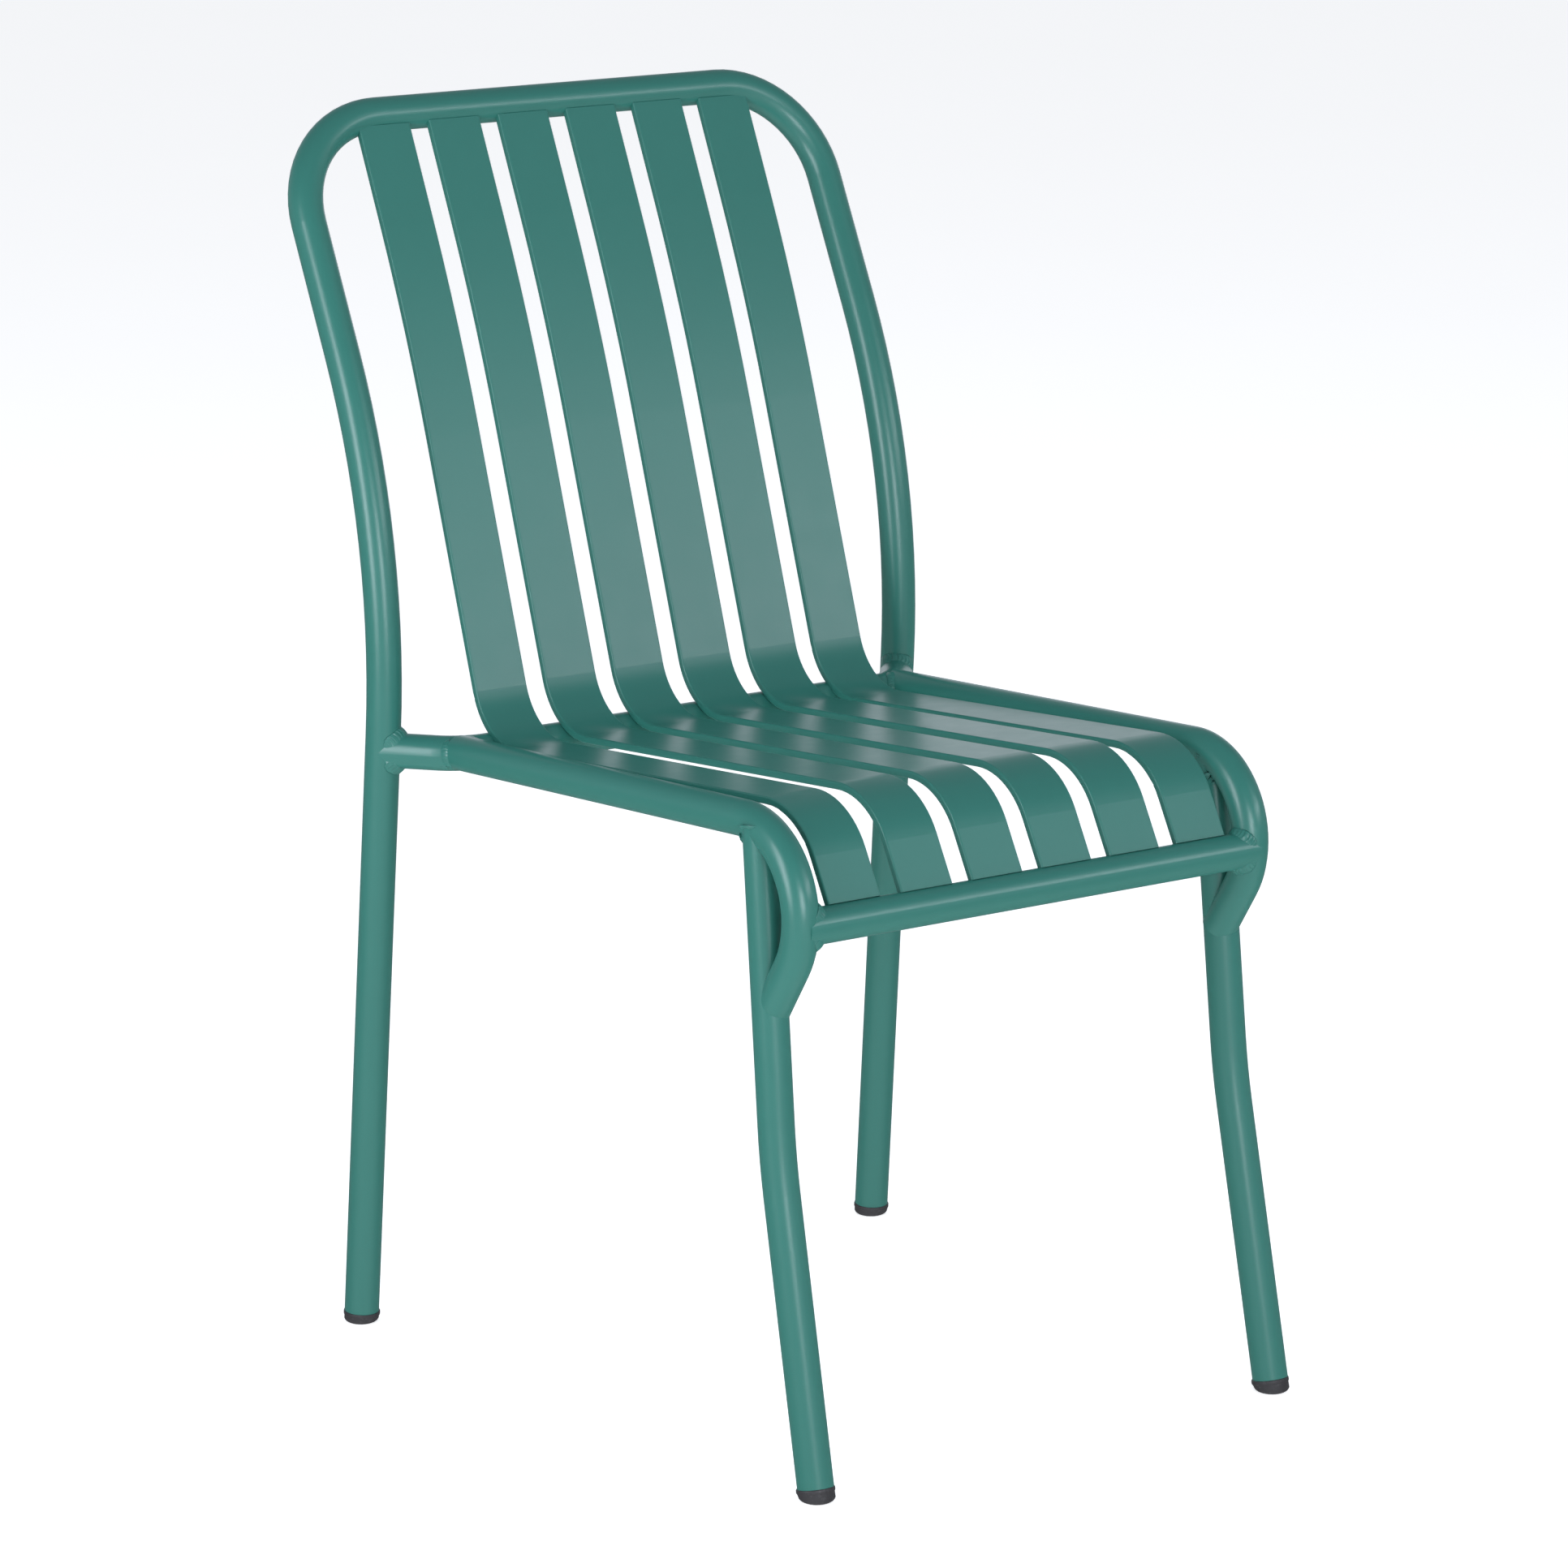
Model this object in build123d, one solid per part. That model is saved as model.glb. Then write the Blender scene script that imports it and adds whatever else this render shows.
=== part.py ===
"""Stacking chair of bent and welded aluminium tube with six one-piece slats.

Frame: millimetres, +Z up.  The chair faces -Y.  Left is the -X side, as seen from the front.
The driving dimensions are measured from a point of the floor under the seat.  At the end the
whole chair moves along Y, so that the origin is under the middle of its outline.
"""
from build123d import *
from math import cos, hypot, radians, sin, sqrt, tan
import os

# ---------------------------------------------------------------- driving dimensions
TUBE_OD = 25.4
TUBE_WALL = 2.0

# back hoop: rear legs, uprights and top rail in one bent tube
REAR_FOOT_Y = 240.0
REAR_RAKE = 4.7             # degrees, lower part leans forward going up
BACK_LEAN = 25.5            # degrees, upper part leans back
HOOP_BEND_Z = 589.0
HOOP_BEND_RADIUS = 520.0
HOOP_TOP_Z = 875.0
HOOP_CORNER_RADIUS = 77.5
HOOP_HALF_FOOT = 234.0
HOOP_HALF_SEAT = 229.5
HOOP_HALF_TOP = 228.5

# side rails: straight along the seat, bent down and back at the front
RAIL_HALF = 195.0
RAIL_REAR_Y = 158.0
RAIL_REAR_Z = 438.0
RAIL_SLOPE = 2.87           # degrees, rises toward the front
RAIL_BEND_Y = -191.0        # where the front bend starts
RAIL_BEND_RADIUS = 60.0
RAIL_BEND_ANGLE = 126.8

# front legs
LEG_BEND_Y = -232.1
LEG_BEND_Z = 226.9
LEG_BEND_RADIUS = 430.0
LEG_UPPER_LEAN = 5.7        # degrees, leans back going up
LEG_LOWER_RAKE = 12.0       # degrees, goes forward going down
LEG_HALF_FOOT = 200.4
LEG_HALF_TOP = 195.2

# cross tubes
REAR_CROSS_Y = 158.3
REAR_CROSS_Z = 436.5
REAR_CROSS_BEND_X = 193.0   # where the angled ends begin
REAR_CROSS_BEND_RADIUS = 40.0
FRONT_CROSS_Y = -254.6
FRONT_CROSS_Z = 391.6

# slats: flat bar with rounded edges, one piece from the front tube to the top rail
SLAT_COUNT = 6
SLAT_PITCH = 60.0
SLAT_WIDTH = 43.5
SLAT_THICK = 5.5
SLAT_EDGE_RADIUS = 1.2
SEAT_Z = 454.5              # top surface over Y = 0
SEAT_SLOPE = 4.08           # degrees, rises toward the front
SEAT_FRONT_Y = -181.0       # where the front bend starts
SEAT_FRONT_RADIUS = 60.0
SEAT_FRONT_DROP = 61.0      # degrees below horizontal at the front end
SEAT_REAR_Y = 159.5         # where seat line and back line would meet
SEAT_REAR_RADIUS = 48.9
SLAT_BACK_LEAN = 18.05      # degrees, lower back
SLAT_UPPER_LEAN = 24.4      # degrees, upper back
SLAT_UPPER_Z = 728.0        # where the lower and the upper back line would meet
SLAT_UPPER_RADIUS = 1400.0
SLAT_END_GAP = 0.7          # the square ends stop this far short of the tubes' surfaces
OUTER_SLAT_DROP = 2.0       # the outer slats sit a little lower on the cross tubes

# glides
FOOT_Z = 9.0                # height of the tube ends' centres above the floor
GLIDE_FLANGE_RADIUS = 13.4
GLIDE_PLUG_LENGTH = 22.0
GLIDE_PAD_RADIUS = 9.5
GLIDE_PAD_HEIGHT = 2.2

TUBE_RADIUS = TUBE_OD / 2
BORE_RADIUS = TUBE_RADIUS - TUBE_WALL


# ---------------------------------------------------------------- helpers
def line_at_height(y, z, lean, height):
    """The Y of a line through (y, z), leaning back by lean degrees going up, at height."""
    return y + (height - z) * tan(radians(lean))


def rounded_path(points, radii):
    """A wire of straight runs through points, with a tangent arc at each inner point."""
    points = [Vector(*p) for p in points]
    start = points[0]
    edges = []
    for before, corner, after, radius in zip(points, points[1:], points[2:], radii):
        arriving = (corner - before).normalized()
        leaving = (after - corner).normalized()
        turn = radians(arriving.get_angle(leaving))
        setback = radius * tan(turn / 2)
        first = corner - arriving * setback
        last = corner + leaving * setback
        inward = (leaving - arriving).normalized()
        middle = corner + inward * (radius / cos(turn / 2) - radius)
        edges.append(Line(start, first))
        edges.append(ThreePointArc(first, middle, last))
        start = last
    edges.append(Line(start, points[-1]))
    return Wire([edge.edge() for edge in edges])


def sweep_circle(path, radius):
    """A round bar of the given radius along a path."""
    section = Plane(origin=path @ 0, z_dir=path % 0) * Circle(radius)
    return sweep(section, path=path, transition=Transition.ROUND)


def tube(path):
    """A hollow tube along a path, with square ends."""
    return sweep_circle(path, TUBE_RADIUS) - sweep_circle(path, BORE_RADIUS)


def mirrored(points):
    """The same points on the other side of the chair, in reverse order."""
    return [(-x, y, z) for x, y, z in reversed(points)]


# ---------------------------------------------------------------- paths of the tubes
def hoop_path():
    foot = (-HOOP_HALF_FOOT, REAR_FOOT_Y, FOOT_Z)
    bend_y = line_at_height(REAR_FOOT_Y, FOOT_Z, -REAR_RAKE, HOOP_BEND_Z)
    bend = (-HOOP_HALF_SEAT, bend_y, HOOP_BEND_Z)
    top_y = line_at_height(bend_y, HOOP_BEND_Z, BACK_LEAN, HOOP_TOP_Z)
    top = (-HOOP_HALF_TOP, top_y, HOOP_TOP_Z)
    side = [foot, bend, top]
    radii = [HOOP_BEND_RADIUS, HOOP_CORNER_RADIUS, HOOP_CORNER_RADIUS, HOOP_BEND_RADIUS]
    return rounded_path(side + mirrored(side), radii)


def rail_height(y):
    """Height of a side rail's centre line along its straight run."""
    return RAIL_REAR_Z + (RAIL_REAR_Y - y) * tan(radians(RAIL_SLOPE))


def leg_points():
    """Foot, bend and top of a front leg's centre line, as (half width, y, z)."""
    foot_y = line_at_height(LEG_BEND_Y, LEG_BEND_Z, LEG_LOWER_RAKE, FOOT_Z)
    top_z = rail_height(RAIL_BEND_Y)
    top_y = line_at_height(LEG_BEND_Y, LEG_BEND_Z, LEG_UPPER_LEAN, top_z)
    share = (LEG_BEND_Z - FOOT_Z) / (top_z - FOOT_Z)
    bend_half = LEG_HALF_FOOT + (LEG_HALF_TOP - LEG_HALF_FOOT) * share
    return [
        (LEG_HALF_FOOT, foot_y, FOOT_Z),
        (bend_half, LEG_BEND_Y, LEG_BEND_Z),
        (LEG_HALF_TOP, top_y, top_z),
    ]


def leg_path(side):
    points = [(side * half, y, z) for half, y, z in leg_points()]
    return rounded_path(points, [LEG_BEND_RADIUS])


def rail_path(side):
    """Side rail: along the seat, round the front bend and back to the front leg."""
    x = side * RAIL_HALF
    slope = radians(RAIL_SLOPE)
    turn = radians(RAIL_BEND_ANGLE)
    setback = RAIL_BEND_RADIUS * tan(turn / 2)
    start_z = rail_height(RAIL_BEND_Y)
    corner_y = RAIL_BEND_Y - setback * cos(slope)
    corner_z = start_z + setback * sin(slope)
    fall = turn - slope
    heading_y = -cos(fall)
    heading_z = -sin(fall)
    # the leg's upper run is y = LEG_BEND_Y + (z - LEG_BEND_Z) * lean
    lean = tan(radians(LEG_UPPER_LEAN))
    gap = LEG_BEND_Y + (corner_z - LEG_BEND_Z) * lean - corner_y
    reach = gap / (heading_y - heading_z * lean)
    end = (x, corner_y + reach * heading_y, corner_z + reach * heading_z)
    points = [(x, RAIL_REAR_Y, RAIL_REAR_Z), (x, corner_y, corner_z), end]
    return rounded_path(points, [RAIL_BEND_RADIUS])


def rear_cross_path():
    """From upright to upright: angled forward at both ends, straight under the slats."""
    upright_y = line_at_height(REAR_FOOT_Y, FOOT_Z, -REAR_RAKE, REAR_CROSS_Z)
    share = (REAR_CROSS_Z - FOOT_Z) / (HOOP_BEND_Z - FOOT_Z)
    upright_half = HOOP_HALF_FOOT + (HOOP_HALF_SEAT - HOOP_HALF_FOOT) * share
    side = [
        (-upright_half, upright_y, REAR_CROSS_Z),
        (-REAR_CROSS_BEND_X, REAR_CROSS_Y, REAR_CROSS_Z),
    ]
    return rounded_path(side + mirrored(side), [REAR_CROSS_BEND_RADIUS] * 2)


def front_cross_path():
    left = Vector(-RAIL_HALF, FRONT_CROSS_Y, FRONT_CROSS_Z)
    right = Vector(RAIL_HALF, FRONT_CROSS_Y, FRONT_CROSS_Z)
    return Wire([Line(left, right).edge()])


# ---------------------------------------------------------------- slats
def top_rail_centre():
    """Centre of the hoop's top rail, as (y, z)."""
    bend_y = line_at_height(REAR_FOOT_Y, FOOT_Z, -REAR_RAKE, HOOP_BEND_Z)
    return (line_at_height(bend_y, HOOP_BEND_Z, BACK_LEAN, HOOP_TOP_Z), HOOP_TOP_Z)


def short_of_tube(start, toward, centre):
    """The point of a line in (y, z) that stops SLAT_END_GAP before a tube's surface."""
    length = hypot(toward[0] - start[0], toward[1] - start[1])
    way_y = (toward[0] - start[0]) / length
    way_z = (toward[1] - start[1]) / length
    from_start = (centre[0] - start[0], centre[1] - start[1])
    along = from_start[0] * way_y + from_start[1] * way_z
    beside = from_start[0] * way_z - from_start[1] * way_y
    reach = along - sqrt(TUBE_RADIUS**2 - beside**2) - SLAT_END_GAP
    return (start[0] + reach * way_y, start[1] + reach * way_z)


def slat_line(drop):
    """Corner points and bend radii of the slat's top surface, front to top, in (y, z)."""
    slope = radians(SEAT_SLOPE)
    fall = radians(SEAT_FRONT_DROP)
    seat_z = SEAT_Z - drop
    setback = SEAT_FRONT_RADIUS * tan((slope + fall) / 2)
    bend_z = seat_z - SEAT_FRONT_Y * tan(slope)
    front = (SEAT_FRONT_Y - setback * cos(slope), bend_z + setback * sin(slope))
    below = (front[0] - cos(fall), front[1] - sin(fall))
    end = short_of_tube(front, below, (FRONT_CROSS_Y, FRONT_CROSS_Z))
    rear = (SEAT_REAR_Y, seat_z - SEAT_REAR_Y * tan(slope))
    upper_y = line_at_height(rear[0], rear[1], SLAT_BACK_LEAN, SLAT_UPPER_Z)
    upper = (upper_y, SLAT_UPPER_Z)
    beyond = (line_at_height(*upper, SLAT_UPPER_LEAN, HOOP_TOP_Z), HOOP_TOP_Z)
    top = short_of_tube(upper, beyond, top_rail_centre())
    points = [end, front, rear, upper, top]
    return points, [SEAT_FRONT_RADIUS, SEAT_REAR_RADIUS, SLAT_UPPER_RADIUS]


def slat_blank(x, drop):
    """A bent flat bar with rounded long edges, before its ends are fitted."""
    points, radii = slat_line(drop)
    half = SLAT_THICK / 2
    # the centre line of the bar lies half a thickness below and behind the top surface
    middle = offset_line(points, half)
    middle_radii = [radii[0] - half, radii[1] + half, radii[2] + half]
    path = rounded_path([(x, y, z) for y, z in middle], middle_radii)
    section_plane = Plane(origin=path @ 0, x_dir=(1, 0, 0), z_dir=path % 0)
    section = section_plane * RectangleRounded(SLAT_WIDTH, SLAT_THICK, SLAT_EDGE_RADIUS)
    return sweep(section, path=path, transition=Transition.RIGHT)


def offset_line(points, distance):
    """The corner points of a line that runs beside another, to the right going along it."""
    moved = []
    for first, last in zip(points, points[1:]):
        length = hypot(last[0] - first[0], last[1] - first[1])
        side_y = (last[1] - first[1]) / length * distance
        side_z = -(last[0] - first[0]) / length * distance
        beside_first = (first[0] + side_y, first[1] + side_z)
        beside_last = (last[0] + side_y, last[1] + side_z)
        moved.append((beside_first, beside_last))
    result = [moved[0][0]]
    for (a, b), (c, d) in zip(moved, moved[1:]):
        result.append(crossing(a, b, c, d))
    result.append(moved[-1][1])
    return result


def crossing(a, b, c, d):
    """Where the line through a and b meets the line through c and d."""
    run_y, run_z = b[0] - a[0], b[1] - a[1]
    other_y, other_z = d[0] - c[0], d[1] - c[1]
    turn = run_y * other_z - run_z * other_y
    share = ((c[0] - a[0]) * other_z - (c[1] - a[1]) * other_y) / turn
    return (a[0] + share * run_y, a[1] + share * run_z)


def slats(top_rail, front_cross, rear_cross):
    """Every slat, with its ends fitted to the top rail and to the front cross tube."""
    made = {}
    for number in range(1, SLAT_COUNT + 1):
        x = (number - (SLAT_COUNT + 1) / 2) * SLAT_PITCH
        drop = OUTER_SLAT_DROP if number in (1, SLAT_COUNT) else 0.0
        blank = slat_blank(x, drop)
        fitted = blank - top_rail - front_cross - rear_cross
        made[f"slat_{number}"] = largest(fitted)
    return made


def largest(shape):
    """The biggest solid of a shape, without the offcuts of a cut."""
    return max(shape.solids(), key=lambda solid: solid.volume)


# ---------------------------------------------------------------- glides
def glide(path, at_start):
    """A plastic foot: plug inside the tube, flange under its end and a level floor pad."""
    end = path @ (0 if at_start else 1)
    away = -(path % 0) if at_start else path % 1
    plug = Solid.make_cylinder(BORE_RADIUS, GLIDE_PLUG_LENGTH, Plane(origin=end, z_dir=-away))
    pad_height = GLIDE_PAD_HEIGHT
    flange_depth = (end.Z - pad_height) / abs(away.Z)
    flange = Solid.make_cylinder(GLIDE_FLANGE_RADIUS, 2 * flange_depth, Plane(origin=end, z_dir=away))
    level = Box(4 * TUBE_OD, 4 * TUBE_OD, 2 * FOOT_Z, align=(Align.CENTER, Align.CENTER, Align.MAX))
    flange -= Pos(end.X, end.Y, pad_height) * level
    foot = end + away * flange_depth
    pad = Solid.make_cylinder(GLIDE_PAD_RADIUS, 2 * pad_height, Plane(origin=(foot.X, foot.Y, 0)))
    return largest(plug + flange + pad)


def glides():
    left_leg, right_leg = leg_path(-1), leg_path(1)
    hoop = hoop_path()
    return {
        "glide_front_left": glide(left_leg, True),
        "glide_front_right": glide(right_leg, True),
        "glide_rear_left": glide(hoop, True),
        "glide_rear_right": glide(hoop, False),
    }


# ---------------------------------------------------------------- the chair
def chair():
    """Every piece of the chair by name; each tube end is shaped to the tube it meets."""
    hoop_bar = sweep_circle(hoop_path(), TUBE_RADIUS)
    rear_cross_bar = sweep_circle(rear_cross_path(), TUBE_RADIUS)
    front_cross_bar = sweep_circle(front_cross_path(), TUBE_RADIUS)
    rail_bars = {side: sweep_circle(rail_path(side), TUBE_RADIUS) for side in (-1, 1)}
    leg_bars = {side: sweep_circle(leg_path(side), TUBE_RADIUS) for side in (-1, 1)}

    pieces = {"back_hoop_tube": tube(hoop_path())}
    pieces["rear_cross_tube"] = largest(tube(rear_cross_path()) - hoop_bar)
    for side, word in ((-1, "left"), (1, "right")):
        rail = tube(rail_path(side)) - rear_cross_bar - leg_bars[side]
        pieces[f"side_rail_{word}"] = largest(rail)
        pieces[f"front_leg_{word}"] = largest(tube(leg_path(side)) - rail_bars[side])
    front_cross = tube(front_cross_path()) - rail_bars[-1] - rail_bars[1]
    pieces["front_cross_tube"] = largest(front_cross)
    pieces.update(slats(hoop_bar, front_cross_bar, rear_cross_bar))
    pieces.update(glides())
    return pieces


os.makedirs("parts", exist_ok=True)
pieces = chair()
outline = Compound(list(pieces.values())).bounding_box()
centred = Pos(-outline.center().X, -outline.center().Y, 0)
for name, piece in pieces.items():
    export_step(centred * piece, f"parts/{name}.step")
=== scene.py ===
"""Looks of the stacking chair: powder coat, weld beads, moulded glides, studio and camera."""
from math import cos, pi, radians, sin, sqrt

import bmesh
import bpy
from mathutils import Matrix, Vector, noise
from mathutils.bvhtree import BVHTree


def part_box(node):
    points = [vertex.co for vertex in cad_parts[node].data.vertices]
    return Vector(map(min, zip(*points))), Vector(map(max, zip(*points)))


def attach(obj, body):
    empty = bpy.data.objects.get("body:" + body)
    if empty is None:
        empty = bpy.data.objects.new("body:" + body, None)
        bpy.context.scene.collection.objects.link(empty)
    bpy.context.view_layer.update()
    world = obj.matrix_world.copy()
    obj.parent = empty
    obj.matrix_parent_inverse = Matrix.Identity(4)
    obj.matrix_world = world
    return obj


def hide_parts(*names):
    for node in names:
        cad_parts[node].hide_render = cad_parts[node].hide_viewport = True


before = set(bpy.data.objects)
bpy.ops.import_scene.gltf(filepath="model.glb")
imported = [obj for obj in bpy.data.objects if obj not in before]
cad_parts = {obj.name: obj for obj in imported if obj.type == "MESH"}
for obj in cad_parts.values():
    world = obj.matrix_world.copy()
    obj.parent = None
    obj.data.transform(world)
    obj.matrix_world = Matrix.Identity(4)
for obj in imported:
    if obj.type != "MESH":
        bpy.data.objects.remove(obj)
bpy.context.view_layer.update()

MM = 0.001
ACROSS = Vector((1, 0, 0))

# ---------------------------------------------------------------- camera
CAMERA_AIM = Vector((-0.0156, -0.0126, 0.4178))
CAMERA_AZIMUTH = -36.0      # degrees, 0 looks along +Y
CAMERA_ELEVATION = 12.77
CAMERA_DISTANCE = 4.5313
CAMERA_ROLL = -0.061        # degrees
CAMERA_LENS = 145.9         # mm on a 36 mm sensor

# ---------------------------------------------------------------- weld beads
BEAD_SINK = 0.4 * MM        # how far a bead's edges go into the metal
BEAD_FULL_ANGLE = radians(60)   # surfaces that meet more sharply than this get a full bead
BEAD_LEAST_ANGLE = radians(28)  # and where they meet less sharply than this there is none
SHORTEST_RUN = 4            # seam points
BEAD_TAPER = 14             # rings over which an open end fades out
BEAD_WOBBLE = 7 * MM        # length over which a bead's size changes
BEAD_UNEVENNESS = 0.10      # and by how much, as a share of its size
BEAD_LEAST_SIZE = 0.3       # share of the full size where the surfaces run on
BEAD_STEP = 0.35 * MM       # length of one ring of the mesh
BEAD_ARC = 10               # faces across a bead
BEAD_LEAST_END = 0.05       # size of an open end's last ring, as a share of the full size
RIPPLE_PITCH = 2.5 * MM
RIPPLE_JITTER = 0.3         # how uneven the pitch is
RIPPLE_SHARPNESS = 0.6      # below 1, each ripple rises steeply and falls off slowly
RIPPLE_CURVE = 0.25         # how far a ripple's middle runs ahead, as a share of the leg
SEAM_STEPS = 72
SEAM_RADIUS = 0.985         # the seam is looked for just inside the tube's surface
TOUCHING = 0.25 * MM        # a seam point is this near to the surface
NEAR_MISS = 2.5 * MM        # or the line passes it at no more than this
MARCH_STEP = 0.05 * MM
MARCH_SHARE = 0.7           # of the distance to the surface that one step goes
SEAM_REACH = 0.09           # a seam is looked for no further along than this
SETTLE_STEPS = 60
SLAT_BEAD_RADIUS = 2.6 * MM
SLAT_BEAD_HALF = 17.0 * MM
SLAT_BEAD_UNEVENNESS = 0.08
SLAT_RIPPLE = 0.10          # height of its ripples, as a share of its radius
SLAT_BEAD_SUNK = 0.45       # its middle is this share of its radius away from both surfaces
SLAT_BEAD_SIDES = 16


def centre_of(node):
    low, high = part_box(node)
    return (low + high) / 2


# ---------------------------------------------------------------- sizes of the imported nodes
FRONT_CROSS = centre_of("front_cross_tube")
TUBE_RADIUS = (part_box("front_cross_tube")[1].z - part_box("front_cross_tube")[0].z) / 2
REAR_CROSS_Z = centre_of("rear_cross_tube").z
REAR_CROSS_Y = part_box("rear_cross_tube")[0].y + TUBE_RADIUS
RAIL_HALF = centre_of("side_rail_right").x
SLAT_COUNT = sum(node.startswith("slat_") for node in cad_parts)


def smooth(mesh):
    mesh.polygons.foreach_set("use_smooth", [True] * len(mesh.polygons))


def add_piece(name, vertices, faces, material):
    """A mesh piece in the row frame that rides on the chair."""
    mesh = bpy.data.meshes.new(name)
    mesh.from_pydata(vertices, [], faces)
    mesh.validate()
    smooth(mesh)
    piece = bpy.data.objects.new(name, mesh)
    bpy.context.scene.collection.objects.link(piece)
    mesh.materials.append(material)
    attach(piece, "root")
    return piece


# ---------------------------------------------------------------- materials
# sockets of a Mix node that mixes colours
MIX_FIRST = 6
MIX_SECOND = 7
MIX_COLOUR = 2


class Nodes:
    """Short calls for building a node material."""

    def __init__(self, name):
        self.material = bpy.data.materials.new(name)
        self.material.use_nodes = True
        self.tree = self.material.node_tree
        self.tree.nodes.clear()
        output = self.add("ShaderNodeOutputMaterial")
        self.shader = self.add("ShaderNodeBsdfPrincipled")
        self.link(self.shader, "BSDF", output, "Surface")
        self.place = self.add("ShaderNodeTexCoord")

    def add(self, kind, **values):
        node = self.tree.nodes.new(kind)
        for key, value in values.items():
            setattr(node, key, value)
        return node

    def link(self, source, output, target, name):
        self.tree.links.new(source.outputs[output], target.inputs[name])

    def noise(self, scale, detail=2.0, roughness=0.5):
        node = self.add("ShaderNodeTexNoise")
        node.inputs["Scale"].default_value = scale
        node.inputs["Detail"].default_value = detail
        node.inputs["Roughness"].default_value = roughness
        self.link(self.place, "Object", node, "Vector")
        return node

    def spread(self, source, low, high, new_low, new_high):
        """Maps a factor from low..high to new_low..new_high."""
        node = self.add("ShaderNodeMapRange")
        values = {"From Min": low, "From Max": high, "To Min": new_low, "To Max": new_high}
        for key, value in values.items():
            node.inputs[key].default_value = value
        self.link(source, 0, node, "Value")
        return node

    def mix(self, factor, first, second):
        """Colour mix; first and second are colours or nodes."""
        node = self.add("ShaderNodeMix", data_type="RGBA")
        self.link(factor, 0, node, 0)
        for colour, socket in ((first, MIX_FIRST), (second, MIX_SECOND)):
            if isinstance(colour, tuple):
                node.inputs[socket].default_value = (*colour, 1)
            else:
                self.tree.links.new(colour.outputs[MIX_COLOUR], node.inputs[socket])
        return node

    def colour(self, source):
        """Uses a colour mix as the surface's colour."""
        self.tree.links.new(source.outputs[MIX_COLOUR], self.shader.inputs["Base Color"])

    def bump(self, source, distance, strength):
        """Roughens the surface by a factor."""
        node = self.add("ShaderNodeBump")
        node.inputs["Distance"].default_value = distance
        node.inputs["Strength"].default_value = strength
        self.link(source, 0, node, "Height")
        self.link(node, 0, self.shader, "Normal")


PAINT = (0.0225, 0.138, 0.111)
PAINT_LIGHT = (0.0242, 0.145, 0.118)
PAINT_DARK = (0.0205, 0.129, 0.103)
PAINT_ROUGHNESS = (0.295, 0.325)
PEEL_DEPTH = 0.010 * MM
PEEL_STRENGTH = 0.2

NYLON = (0.020, 0.019, 0.021)
NYLON_LIGHT = (0.030, 0.028, 0.031)
NYLON_SCUFFED = (0.055, 0.053, 0.056)
NYLON_ROUGHNESS = (0.42, 0.58)
NYLON_GRAIN_DEPTH = 0.06 * MM
NYLON_GRAIN_STRENGTH = 0.5

FLOOR = (0.86, 0.86, 0.855)
FLOOR_LIGHT = (0.885, 0.885, 0.88)
FLOOR_ROUGHNESS = 0.75
FLOOR_GLOW = 0.66           # keeps the floor pale where the lights don't reach


def powder_coat(name, peel=1.0):
    """Satin powder coat: a fine speckle, a soft orange peel and slow changes of tone."""
    n = Nodes(name)
    slow = n.mix(n.noise(7.0, 3.0), PAINT, PAINT_LIGHT)
    speckle = n.spread(n.noise(1400.0, 2.0, 0.6), 0.35, 0.72, 0.0, 0.15)
    n.colour(n.mix(speckle, slow, PAINT_DARK))
    gloss = n.spread(n.noise(60.0, 4.0, 0.6), 0.3, 0.7, *PAINT_ROUGHNESS)
    n.link(gloss, 0, n.shader, "Roughness")
    n.bump(n.noise(520.0, 2.0, 0.5), PEEL_DEPTH * peel, PEEL_STRENGTH)
    n.shader.inputs["IOR"].default_value = 1.5
    return n.material


def moulded_plastic(name):
    """Black nylon with a fine spark-eroded grain and light scuffs."""
    n = Nodes(name)
    body = n.mix(n.noise(90.0, 3.0), NYLON, NYLON_LIGHT)
    scuff = n.spread(n.noise(420.0, 4.0, 0.7), 0.56, 0.72, 0.0, 1.0)
    n.colour(n.mix(scuff, body, NYLON_SCUFFED))
    gloss = n.spread(n.noise(700.0, 2.0), 0.3, 0.7, *NYLON_ROUGHNESS)
    n.link(gloss, 0, n.shader, "Roughness")
    n.bump(n.noise(1800.0, 3.0), NYLON_GRAIN_DEPTH, NYLON_GRAIN_STRENGTH)
    return n.material


def floor_paint(name):
    """Pale matt paint with a slow change of tone."""
    n = Nodes(name)
    n.colour(n.mix(n.noise(1.6, 3.0), FLOOR, FLOOR_LIGHT))
    n.shader.inputs["Roughness"].default_value = FLOOR_ROUGHNESS
    n.shader.inputs["Specular IOR Level"].default_value = 0.0
    n.shader.inputs["Emission Color"].default_value = (1, 1, 1, 1)
    n.shader.inputs["Emission Strength"].default_value = FLOOR_GLOW
    return n.material


tube_coat = powder_coat("powder_coat_tube")
slat_coat = powder_coat("powder_coat_slat")
bead_coat = powder_coat("powder_coat_bead", peel=0.6)
glide_plastic = moulded_plastic("glide_nylon")

for node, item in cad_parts.items():
    coat = slat_coat if node.startswith("slat") else tube_coat
    item.data.materials.clear()
    item.data.materials.append(glide_plastic if node.startswith("glide") else coat)


# ---------------------------------------------------------------- weld beads
TREES = {}


def surface(node):
    """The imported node's surface, for finding where two pieces meet."""
    if node not in TREES:
        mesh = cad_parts[node].data
        points = [vertex.co for vertex in mesh.vertices]
        TREES[node] = BVHTree.FromPolygons(points, [tuple(p.vertices) for p in mesh.polygons])
    return TREES[node]


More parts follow.
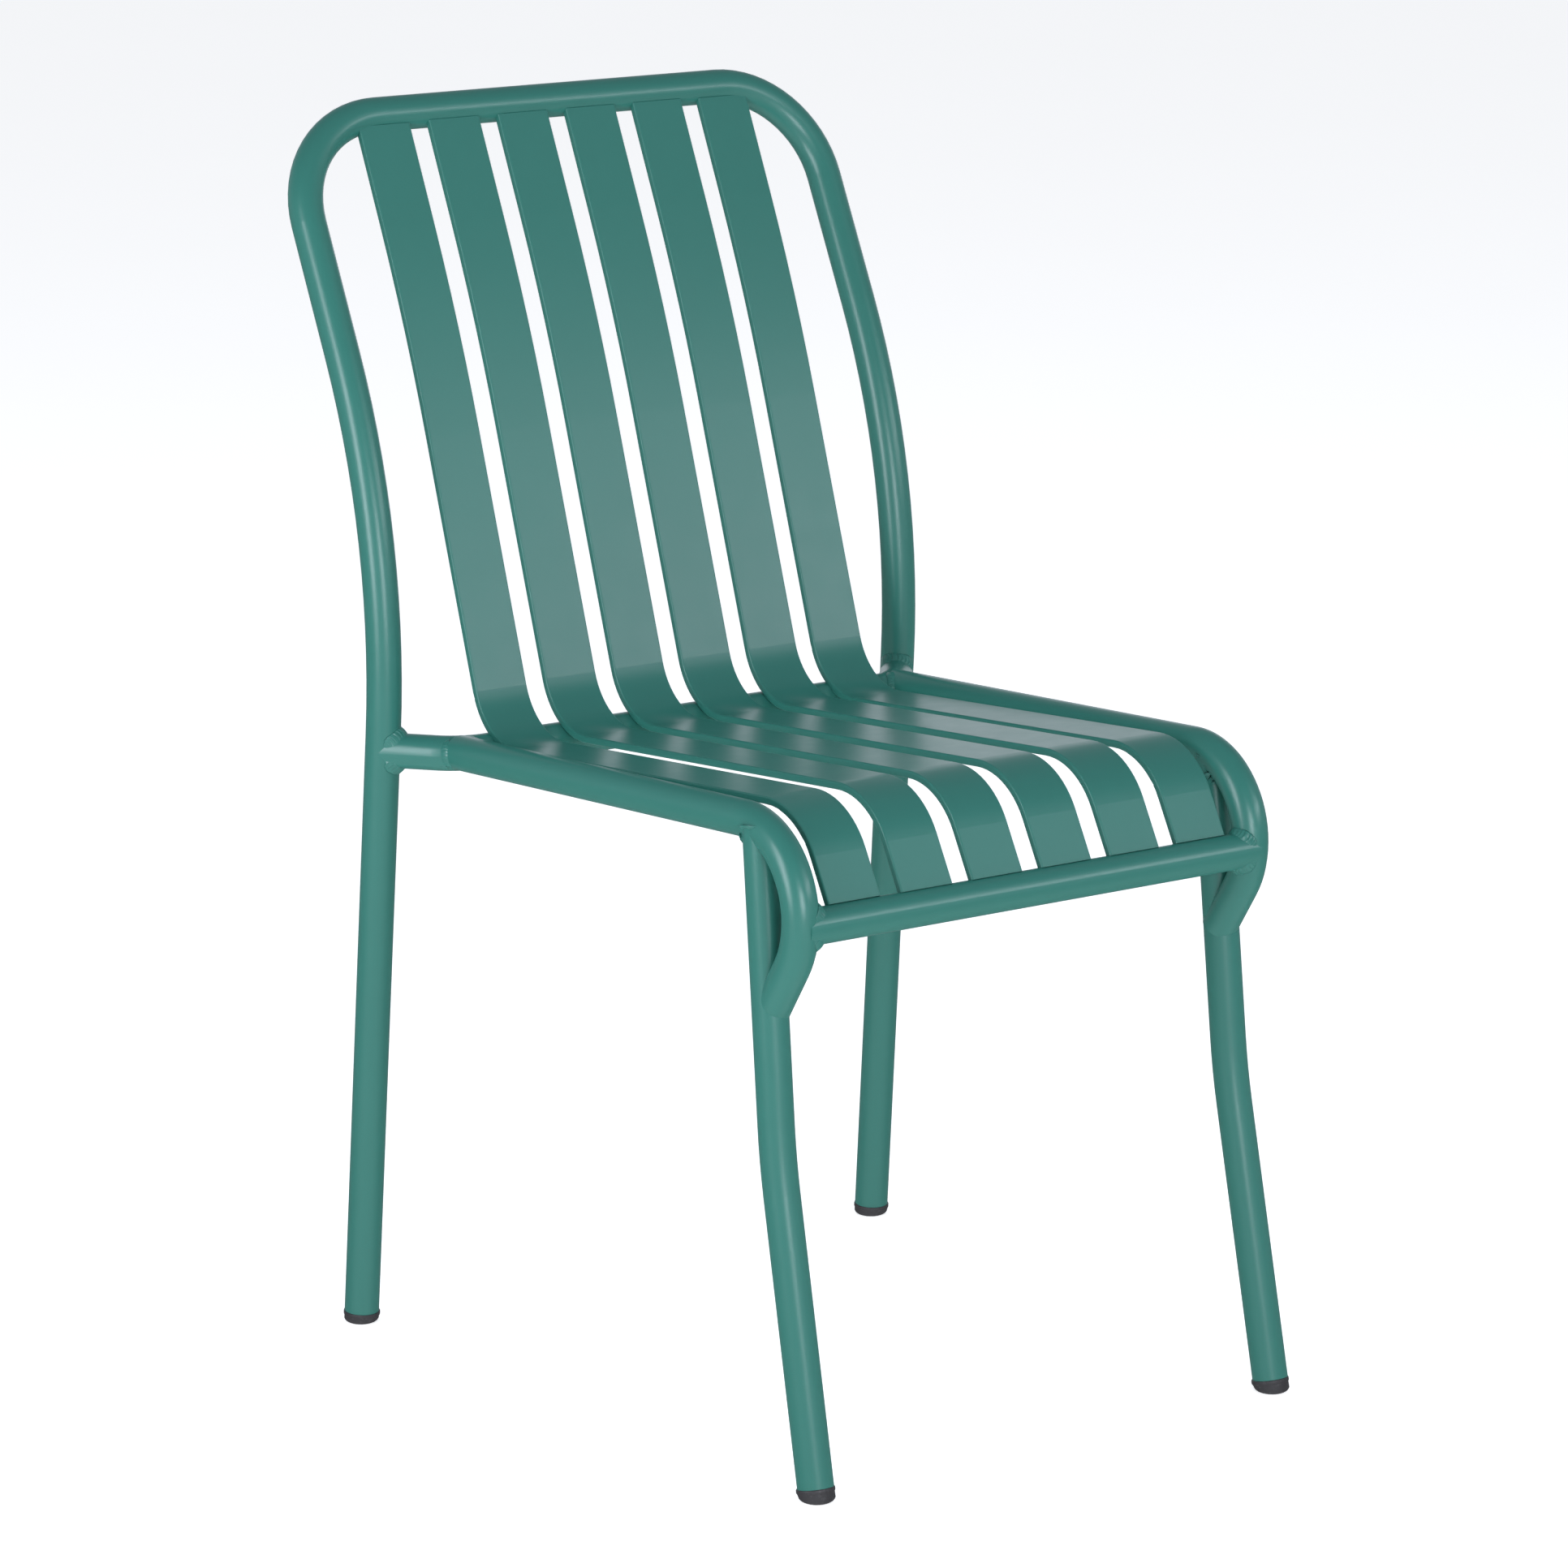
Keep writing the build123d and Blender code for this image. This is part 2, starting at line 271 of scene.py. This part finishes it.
def meet(start, direction, node):
    """Goes from start to where it is almost on the node's surface: the point and the normal.

    A line that only passes close by gives its nearest point.
    """
    tree = surface(node)
    travelled = 0.0
    best = None
    while travelled < SEAM_REACH:
        point = start + direction * travelled
        _, normal, _, distance = tree.find_nearest(point)
        if best is None or distance < best[0]:
            best = (distance, point, normal)
        if distance < TOUCHING:
            break
        travelled += max(distance * MARCH_SHARE, MARCH_STEP)
    return best[1:] if best[0] < NEAR_MISS else None


def rippled(length, seed):
    """At a length along a bead: the slow change of its size, and the height of its ripple."""
    wobble = noise.noise(Vector((length / BEAD_WOBBLE, seed, 0)))
    phase = (length / RIPPLE_PITCH + RIPPLE_JITTER * wobble) % 1.0
    return wobble, (1 - phase) ** RIPPLE_SHARPNESS - 0.5


def rounded_end(share):
    """Size near an open end, as a share of the full size; share goes from 0 there to 1."""
    share = min(1.0, share)
    return max(sqrt(max(0.0, 1 - (1 - share) ** 2)), BEAD_LEAST_END)


def edge_directions(normal_a, normal_b, along, heading):
    """On each surface, the way from the seam out to the bead's edge."""
    out_a = normal_a.cross(along).normalized()
    if out_a.dot(heading) > 0:
        out_a = -out_a
    out_b = normal_b.cross(along).normalized()
    if out_b.dot(normal_a + heading * 0.5) < 0:
        out_b = -out_b
    return out_a, out_b


def bead_rings(seam, heading, closed, shape, seed):
    """The points of a bead, ring after ring: an arc of BEAD_ARC faces and a point inside."""
    leg, bulge_share, ripple_share = shape
    count = len(seam)
    vertices = []
    length = 0.0
    for i, (point, normal_a, normal_b) in enumerate(seam):
        before = seam[i - 1][0] if (i or closed) else point
        after = seam[(i + 1) % count][0] if (i < count - 1 or closed) else point
        along = (after - before).normalized()
        out_a, out_b = edge_directions(normal_a, normal_b, along, heading)
        wobble, ripple = rippled(length, seed)
        # where the surfaces nearly run on into each other the bead almost vanishes
        fullness = min(1.0, normal_a.angle(normal_b) / BEAD_FULL_ANGLE)
        size = leg * (1 + BEAD_UNEVENNESS * wobble)
        size *= BEAD_LEAST_SIZE + (1 - BEAD_LEAST_SIZE) * fullness
        if not closed:
            size *= rounded_end(min(i, count - 1 - i) / BEAD_TAPER)
        first = point + out_a * size - normal_a * BEAD_SINK
        last = point + out_b * size - normal_b * BEAD_SINK
        outward = (normal_a + normal_b).normalized()
        bulge = (bulge_share + ripple_share * ripple) * size * fullness + BEAD_SINK * 0.5
        for k in range(BEAD_ARC + 1):
            share = k / BEAD_ARC
            swell = sin(pi * share)
            chord = first.lerp(last, share)
            vertices.append(chord + outward * bulge * swell + along * RIPPLE_CURVE * size * swell)
        vertices.append(point - outward * BEAD_SINK)
        length += (after - point).length
    return vertices


def bead_mesh(seam, heading, closed, shape, seed):
    """Vertices and faces of a bead along a seam of (point, normal_a, normal_b).

    Surface a is the tube that ends here and goes along heading; surface b is the one it meets.
    """
    vertices = bead_rings(seam, heading, closed, shape, seed)
    count = len(seam)
    ring = BEAD_ARC + 2
    faces = []
    for i in range(count if closed else count - 1):
        here = i * ring
        there = ((i + 1) % count) * ring
        for k in range(ring):
            after = (k + 1) % ring
            faces.append((here + k, here + after, there + after, there + k))
    if not closed:
        faces.append(tuple(range(ring))[::-1])
        faces.append(tuple((count - 1) * ring + k for k in range(ring)))
    return vertices, faces


def spaced(points, closed):
    """The same seam with even steps along it."""
    line = points + [points[0]] if closed else points
    lengths = [0.0]
    for a, b in zip(line, line[1:]):
        lengths.append(lengths[-1] + (b[0] - a[0]).length)
    count = max(8, int(lengths[-1] / BEAD_STEP))
    result, k = [], 0
    for i in range(count if closed else count + 1):
        goal = lengths[-1] * i / count
        while k < len(line) - 2 and lengths[k + 1] < goal:
            k += 1
        share = (goal - lengths[k]) / max(lengths[k + 1] - lengths[k], 1e-9)
        result.append(tuple(a.lerp(b, share) for a, b in zip(line[k], line[k + 1])))
    return [(p, a.normalized(), b.normalized()) for p, a, b in result]


def weld_tube(name, base, heading, node, shape):
    """Beads round the end of a tube: it starts at base, goes along heading and meets node."""
    heading = heading.normalized()
    side = heading.orthogonal().normalized()
    other = heading.cross(side)
    seam = []
    for i in range(SEAM_STEPS):
        turn = 2 * pi * i / SEAM_STEPS
        out = side * cos(turn) + other * sin(turn)
        found = meet(base + out * TUBE_RADIUS * SEAM_RADIUS, heading, node)
        opening = out.angle(found[1]) if found else 0.0
        seam.append((found[0], out, found[1]) if opening > BEAD_LEAST_ANGLE else None)
    for number, run in enumerate(runs(seam), 1):
        closed = len(run) == SEAM_STEPS
        seed = sum(map(ord, name)) % 97 + number
        vertices, faces = bead_mesh(spaced(run, closed), heading, closed, shape, seed)
        add_piece(f"{name}_{number}", vertices, faces, bead_coat)


def runs(seam):
    """The unbroken stretches of a seam that goes round, without the very short ones."""
    if None not in seam:
        return [seam]
    first = seam.index(None)
    stretches = [[]]
    for point in seam[first:] + seam[:first]:
        if point:
            stretches[-1].append(point)
        else:
            stretches.append([])
    return [stretch for stretch in stretches if len(stretch) > SHORTEST_RUN]


def settle(guess, first, second, gap):
    """The point near guess that is gap away from both nodes' surfaces."""
    point = guess.copy()
    for _ in range(SETTLE_STEPS):
        step = Vector()
        for node in (first, second):
            near, _, _, distance = surface(node).find_nearest(point)
            step += (near - point) / max(distance, 1e-9) * (distance - gap) * 0.5
        point += step
    return point


def slat_bead(name, guess, slat, node):
    """A short rippled bead across a slat, in the groove between it and a tube."""
    middle = settle(guess, slat, node, SLAT_BEAD_RADIUS * SLAT_BEAD_SUNK)
    seed = sum(map(ord, name)) % 97
    vertices, faces = [], []
    rings = int(2 * SLAT_BEAD_HALF / BEAD_STEP)
    for i in range(rings + 1):
        place = (2 * i / rings - 1) * SLAT_BEAD_HALF
        wobble, ripple = rippled(place, seed)
        taper = rounded_end((SLAT_BEAD_HALF - abs(place)) / SLAT_BEAD_RADIUS)
        size = SLAT_BEAD_RADIUS * (1 + SLAT_BEAD_UNEVENNESS * wobble + SLAT_RIPPLE * ripple) * taper
        for k in range(SLAT_BEAD_SIDES):
            turn = 2 * pi * k / SLAT_BEAD_SIDES
            vertices.append(middle + Vector((place, size * cos(turn), size * sin(turn))))
    for i in range(rings):
        here = i * SLAT_BEAD_SIDES
        there = (i + 1) * SLAT_BEAD_SIDES
        for k in range(SLAT_BEAD_SIDES):
            after = (k + 1) % SLAT_BEAD_SIDES
            faces.append((here + k, there + k, there + after, here + after))
    faces.append(tuple(range(SLAT_BEAD_SIDES)))
    last = rings * SLAT_BEAD_SIDES
    faces.append(tuple(last + k for k in range(SLAT_BEAD_SIDES))[::-1])
    add_piece(name, vertices, faces, bead_coat)


# shape of a bead: leg, then bulge and ripple as shares of the leg
STUB_BEAD = (5.2 * MM, -0.04, 0.16)
FRONT_CROSS_BEAD = (4.6 * MM, -0.02, 0.20)
RAIL_BEAD = (3.8 * MM, 0.02, 0.16)
LEG_TOP_BEAD = (3.2 * MM, 0.05, 0.13)

STUB_BEND_X = 0.193
UPRIGHT_X = 0.2307
UPRIGHT_BEHIND = 0.0466     # from the rear cross tube's straight part to the upright
RAIL_SLOPE = radians(2.87)
RAIL_ABOVE = 0.0015         # the rail's end over the rear cross tube's middle
LEG_LEAN = radians(5.7)
LEG_TOP_Y = -0.2342
LEG_TOP_Z = 0.442
# how far along the tube from its bend, or before its end, the search for a seam starts
STUB_LEAD = 0.02
RAIL_LEAD = 0.06
FRONT_CROSS_LEAD = 0.04
LEG_LEAD = 0.06

for word, side in (("left", -1), ("right", 1)):
    stub_start = Vector((side * STUB_BEND_X, REAR_CROSS_Y, REAR_CROSS_Z))
    stub_end = Vector((side * UPRIGHT_X, REAR_CROSS_Y + UPRIGHT_BEHIND, REAR_CROSS_Z))
    to_upright = (stub_end - stub_start).normalized()
    stub_start += to_upright * STUB_LEAD
    weld_tube(f"weld_stub_{word}", stub_start, to_upright, "back_hoop_tube", STUB_BEAD)

    to_rear = Vector((0, cos(RAIL_SLOPE), -sin(RAIL_SLOPE)))
    rail_end = Vector((side * RAIL_HALF, REAR_CROSS_Y, REAR_CROSS_Z + RAIL_ABOVE))
    rail_start = rail_end - to_rear * RAIL_LEAD
    weld_tube(f"weld_rail_{word}", rail_start, to_rear, "rear_cross_tube", RAIL_BEAD)

    outward = Vector((side, 0, 0))
    cross_end = Vector((side * RAIL_HALF, FRONT_CROSS.y, FRONT_CROSS.z))
    cross_start = cross_end - outward * FRONT_CROSS_LEAD
    rail = f"side_rail_{word}"
    weld_tube(f"weld_front_cross_{word}", cross_start, outward, rail, FRONT_CROSS_BEAD)

    leg_up = Vector((0, sin(LEG_LEAN), cos(LEG_LEAN)))
    leg_start = Vector((side * RAIL_HALF, LEG_TOP_Y, LEG_TOP_Z)) - leg_up * LEG_LEAD
    weld_tube(f"weld_leg_top_{word}", leg_start, leg_up, rail, LEG_TOP_BEAD)

TOP_RAIL_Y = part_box("back_hoop_tube")[1].y - TUBE_RADIUS
TOP_RAIL_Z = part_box("back_hoop_tube")[1].z - TUBE_RADIUS
# name, tube, and the (y, z) near which each slat bead is looked for
SLAT_GROOVES = [
    ("top", "back_hoop_tube", TOP_RAIL_Y - 4.4 * MM, TOP_RAIL_Z - 14.5 * MM),
    ("rear_cross_back", "rear_cross_tube", REAR_CROSS_Y + 8.0 * MM, REAR_CROSS_Z + 10.5 * MM),
    ("rear_cross_front", "rear_cross_tube", REAR_CROSS_Y - 8.0 * MM, REAR_CROSS_Z + 10.5 * MM),
    ("front_cross", "front_cross_tube", FRONT_CROSS.y + 15.2 * MM, FRONT_CROSS.z + 11.0 * MM),
]
for number in range(1, SLAT_COUNT + 1):
    slat = f"slat_{number}"
    x = centre_of(slat).x
    for place, node, y, z in SLAT_GROOVES:
        slat_bead(f"weld_{slat}_{place}", Vector((x, y, z)), slat, node)


# ---------------------------------------------------------------- glides
GLIDE_END_Z = 9.0 * MM      # height of the tube end's centre
GLIDE_STEPS = 72
# depth below the tube end and radius, square to the tube, in millimetres
GLIDE_SPIGOT_AND_FLANGE = [
    (-12.0, 10.2), (-10.0, 10.65), (0.0, 10.65), (0.0, 12.75), (0.15, 13.1), (0.45, 13.32),
    (0.9, 13.4), (2.6, 13.4), (3.0, 13.25), (3.2, 12.95), (3.5, 12.9),
]
# height over the floor and radius, level with the floor, in millimetres
GLIDE_BASE = [(3.1, 12.75), (2.2, 12.4), (1.3, 11.7), (0.6, 10.7), (0.2, 9.8), (0.0, 9.3)]


def circle(centre, first_axis, second_axis, radius):
    points = []
    for k in range(GLIDE_STEPS):
        turn = 2 * pi * k / GLIDE_STEPS
        points.append(centre + (first_axis * cos(turn) + second_axis * sin(turn)) * radius)
    return points


def average(points):
    return sum(points, Vector()) / len(points)


def glide_piece(node):
    """A moulded foot: a spigot in the tube, a rounded flange and a domed base with a level pad."""
    points = [vertex.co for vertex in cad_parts[node].data.vertices]
    plug_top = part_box(node)[1].z - 8 * MM
    upper = average([point for point in points if point.z > plug_top])
    foot = average([point for point in points if point.z < 0.1 * MM])
    heading = (foot - upper).normalized()
    end = foot + heading * (GLIDE_END_Z / heading.z)
    side = (ACROSS - heading * ACROSS.dot(heading)).normalized()
    vertices = []
    for depth, radius in GLIDE_SPIGOT_AND_FLANGE:
        centre = end + heading * depth * MM
        vertices += circle(centre, side, heading.cross(side), radius * MM)
    for height, radius in GLIDE_BASE:
        centre = Vector((foot.x, foot.y, height * MM))
        vertices += circle(centre, ACROSS, Vector((0, -1, 0)), radius * MM)
    rows = len(GLIDE_SPIGOT_AND_FLANGE) + len(GLIDE_BASE)
    bottom = len(vertices)
    top = bottom + 1
    vertices.append(foot)
    vertices.append(end + heading * GLIDE_SPIGOT_AND_FLANGE[0][0] * MM)
    faces = []
    last = (rows - 1) * GLIDE_STEPS
    for k in range(GLIDE_STEPS):
        after = (k + 1) % GLIDE_STEPS
        for row in range(rows - 1):
            here = row * GLIDE_STEPS
            there = here + GLIDE_STEPS
            faces.append((here + k, here + after, there + after, there + k))
        faces.append((last + k, last + after, bottom))
        faces.append((after, k, top))
    piece = add_piece(f"moulded_{node}", vertices, faces, glide_plastic)
    shell = bmesh.new()
    shell.from_mesh(piece.data)
    bmesh.ops.recalc_face_normals(shell, faces=shell.faces)
    shell.to_mesh(piece.data)
    shell.free()
    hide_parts(node)


for glide in ("glide_front_left", "glide_front_right", "glide_rear_left", "glide_rear_right"):
    glide_piece(glide)


# ---------------------------------------------------------------- studio
SOFT_BLUE = (0.93, 0.97, 1.05)
SKY_BELOW = (0.20, 0.21, 0.22, 1)
SKY_HORIZON = (0.46, 0.48, 0.52, 1)
SKY_ABOVE = (0.16, 0.17, 0.19, 1)
SKY_GLOW = (0.86, 0.88, 0.92, 1)
SKY_SEEN = (0.92, 0.92, 0.92, 1)
FLOOR_HALF = 30.0

# name, place, aim, width, height, radiance
SOFTBOXES = [
    ("softbox_right_low", (1.46, -2.14, 1.30), (-0.25, 0.15, 0.52), 1.71, 0.385, 6.3),
    ("softbox_right_high", (1.20, -2.19, 2.00), (-0.15, -0.25, 0.45), 1.30, 0.50, 1.1),
    ("softbox_left", (-1.72, -0.25, 0.92), (-0.20, 0.20, 0.70), 0.60, 1.10, 8.5),
    ("softbox_front", (-0.72, -2.27, 0.82), (-0.20, 0.19, 0.60), 0.80, 0.80, 9.5),
    ("reflector_low", (0.30, -1.90, 0.40), (0.00, -0.20, 0.20), 0.70, 0.50, 0.55),
    ("backdrop_panel", (1.75, 2.30, 0.70), (0.00, 0.00, 0.45), 2.60, 1.40, 0.60),
]


def soft_light(name, place, aim, width, height, radiance):
    data = bpy.data.lights.new(name, "AREA")
    data.shape = "RECTANGLE"
    data.size, data.size_y = width, height
    data.energy = radiance * pi * width * height
    data.color = SOFT_BLUE
    light = bpy.data.objects.new(name, data)
    light.location = place
    light.rotation_euler = (Vector(aim) - Vector(place)).to_track_quat("-Z", "Y").to_euler()
    light.visible_camera = False
    bpy.context.scene.collection.objects.link(light)
    return light


for softbox in SOFTBOXES:
    light = soft_light(*softbox)
    light.visible_diffuse = softbox[0] != "backdrop_panel"
overhead = soft_light("overhead_fill", (0.0, 0.0, 4.0), (0.0, 0.0, 0.0), 5.0, 5.0, 0.75)
overhead.visible_glossy = False


def studio_world():
    """Brightest at the horizon, with a glow on the camera's side below it; plain to the camera."""
    world = bpy.data.worlds.new("studio")
    bpy.context.scene.world = world
    world.use_nodes = True
    tree = world.node_tree
    direction = tree.nodes.new("ShaderNodeTexCoord")
    parts = tree.nodes.new("ShaderNodeSeparateXYZ")
    height = tree.nodes.new("ShaderNodeMapRange")
    height.inputs["From Min"].default_value = -1.0
    ramp = tree.nodes.new("ShaderNodeValToRGB")
    ramp.color_ramp.elements[0].position = 0.45
    ramp.color_ramp.elements[0].color = SKY_BELOW
    ramp.color_ramp.elements[1].position = 1.0
    ramp.color_ramp.elements[1].color = SKY_ABOVE
    horizon = ramp.color_ramp.elements.new(0.52)
    horizon.color = SKY_HORIZON
    toward = tree.nodes.new("ShaderNodeVectorMath")
    toward.operation = "DOT_PRODUCT"
    azimuth = radians(CAMERA_AZIMUTH)
    toward.inputs[1].default_value = (sin(azimuth), -cos(azimuth), -1.2)
    front = tree.nodes.new("ShaderNodeMapRange")
    front.interpolation_type = "SMOOTHSTEP"
    front.inputs["From Min"].default_value = 0.5
    front.inputs["From Max"].default_value = 1.1
    front.inputs["To Max"].default_value = 0.75
    glow = tree.nodes.new("ShaderNodeMix")
    glow.data_type = "RGBA"
    glow.inputs[MIX_SECOND].default_value = SKY_GLOW
    seen = tree.nodes.new("ShaderNodeLightPath")
    final = tree.nodes.new("ShaderNodeMix")
    final.data_type = "RGBA"
    final.inputs[MIX_SECOND].default_value = SKY_SEEN
    for source, target in (
        (direction.outputs["Generated"], parts.inputs[0]),
        (parts.outputs["Z"], height.inputs["Value"]),
        (height.outputs[0], ramp.inputs[0]),
        (direction.outputs["Generated"], toward.inputs[0]),
        (toward.outputs["Value"], front.inputs["Value"]),
        (front.outputs[0], glow.inputs[0]),
        (ramp.outputs[0], glow.inputs[MIX_FIRST]),
        (seen.outputs["Is Camera Ray"], final.inputs[0]),
        (glow.outputs[MIX_COLOUR], final.inputs[MIX_FIRST]),
        (final.outputs[MIX_COLOUR], tree.nodes["Background"].inputs["Color"]),
    ):
        tree.links.new(source, target)


def lay_floor():
    mesh = bpy.data.meshes.new("floor")
    half = FLOOR_HALF
    corners = [(-half, -half, 0), (half, -half, 0), (half, half, 0), (-half, half, 0)]
    mesh.from_pydata(corners, [], [(0, 1, 2, 3)])
    mesh.materials.append(floor_paint("floor_paint"))
    floor = bpy.data.objects.new("floor", mesh)
    bpy.context.scene.collection.objects.link(floor)
    floor.visible_glossy = False


def place_camera():
    azimuth = radians(CAMERA_AZIMUTH)
    elevation = radians(CAMERA_ELEVATION)
    across = cos(elevation)
    back = Vector((sin(azimuth) * across, -cos(azimuth) * across, sin(elevation)))
    data = bpy.data.cameras.new("camera")
    data.lens = CAMERA_LENS
    data.sensor_width = 36.0
    data.clip_end = 200.0
    camera = bpy.data.objects.new("camera", data)
    bpy.context.scene.collection.objects.link(camera)
    camera.location = CAMERA_AIM + back * CAMERA_DISTANCE
    roll = Matrix.Rotation(radians(CAMERA_ROLL), 3, "Z").to_quaternion()
    camera.rotation_mode = "QUATERNION"
    camera.rotation_quaternion = (-back).to_track_quat("-Z", "Y") @ roll
    bpy.context.scene.camera = camera


studio_world()
lay_floor()
place_camera()
bpy.context.scene.view_settings.view_transform = "Standard"
bpy.context.scene.view_settings.look = "None"
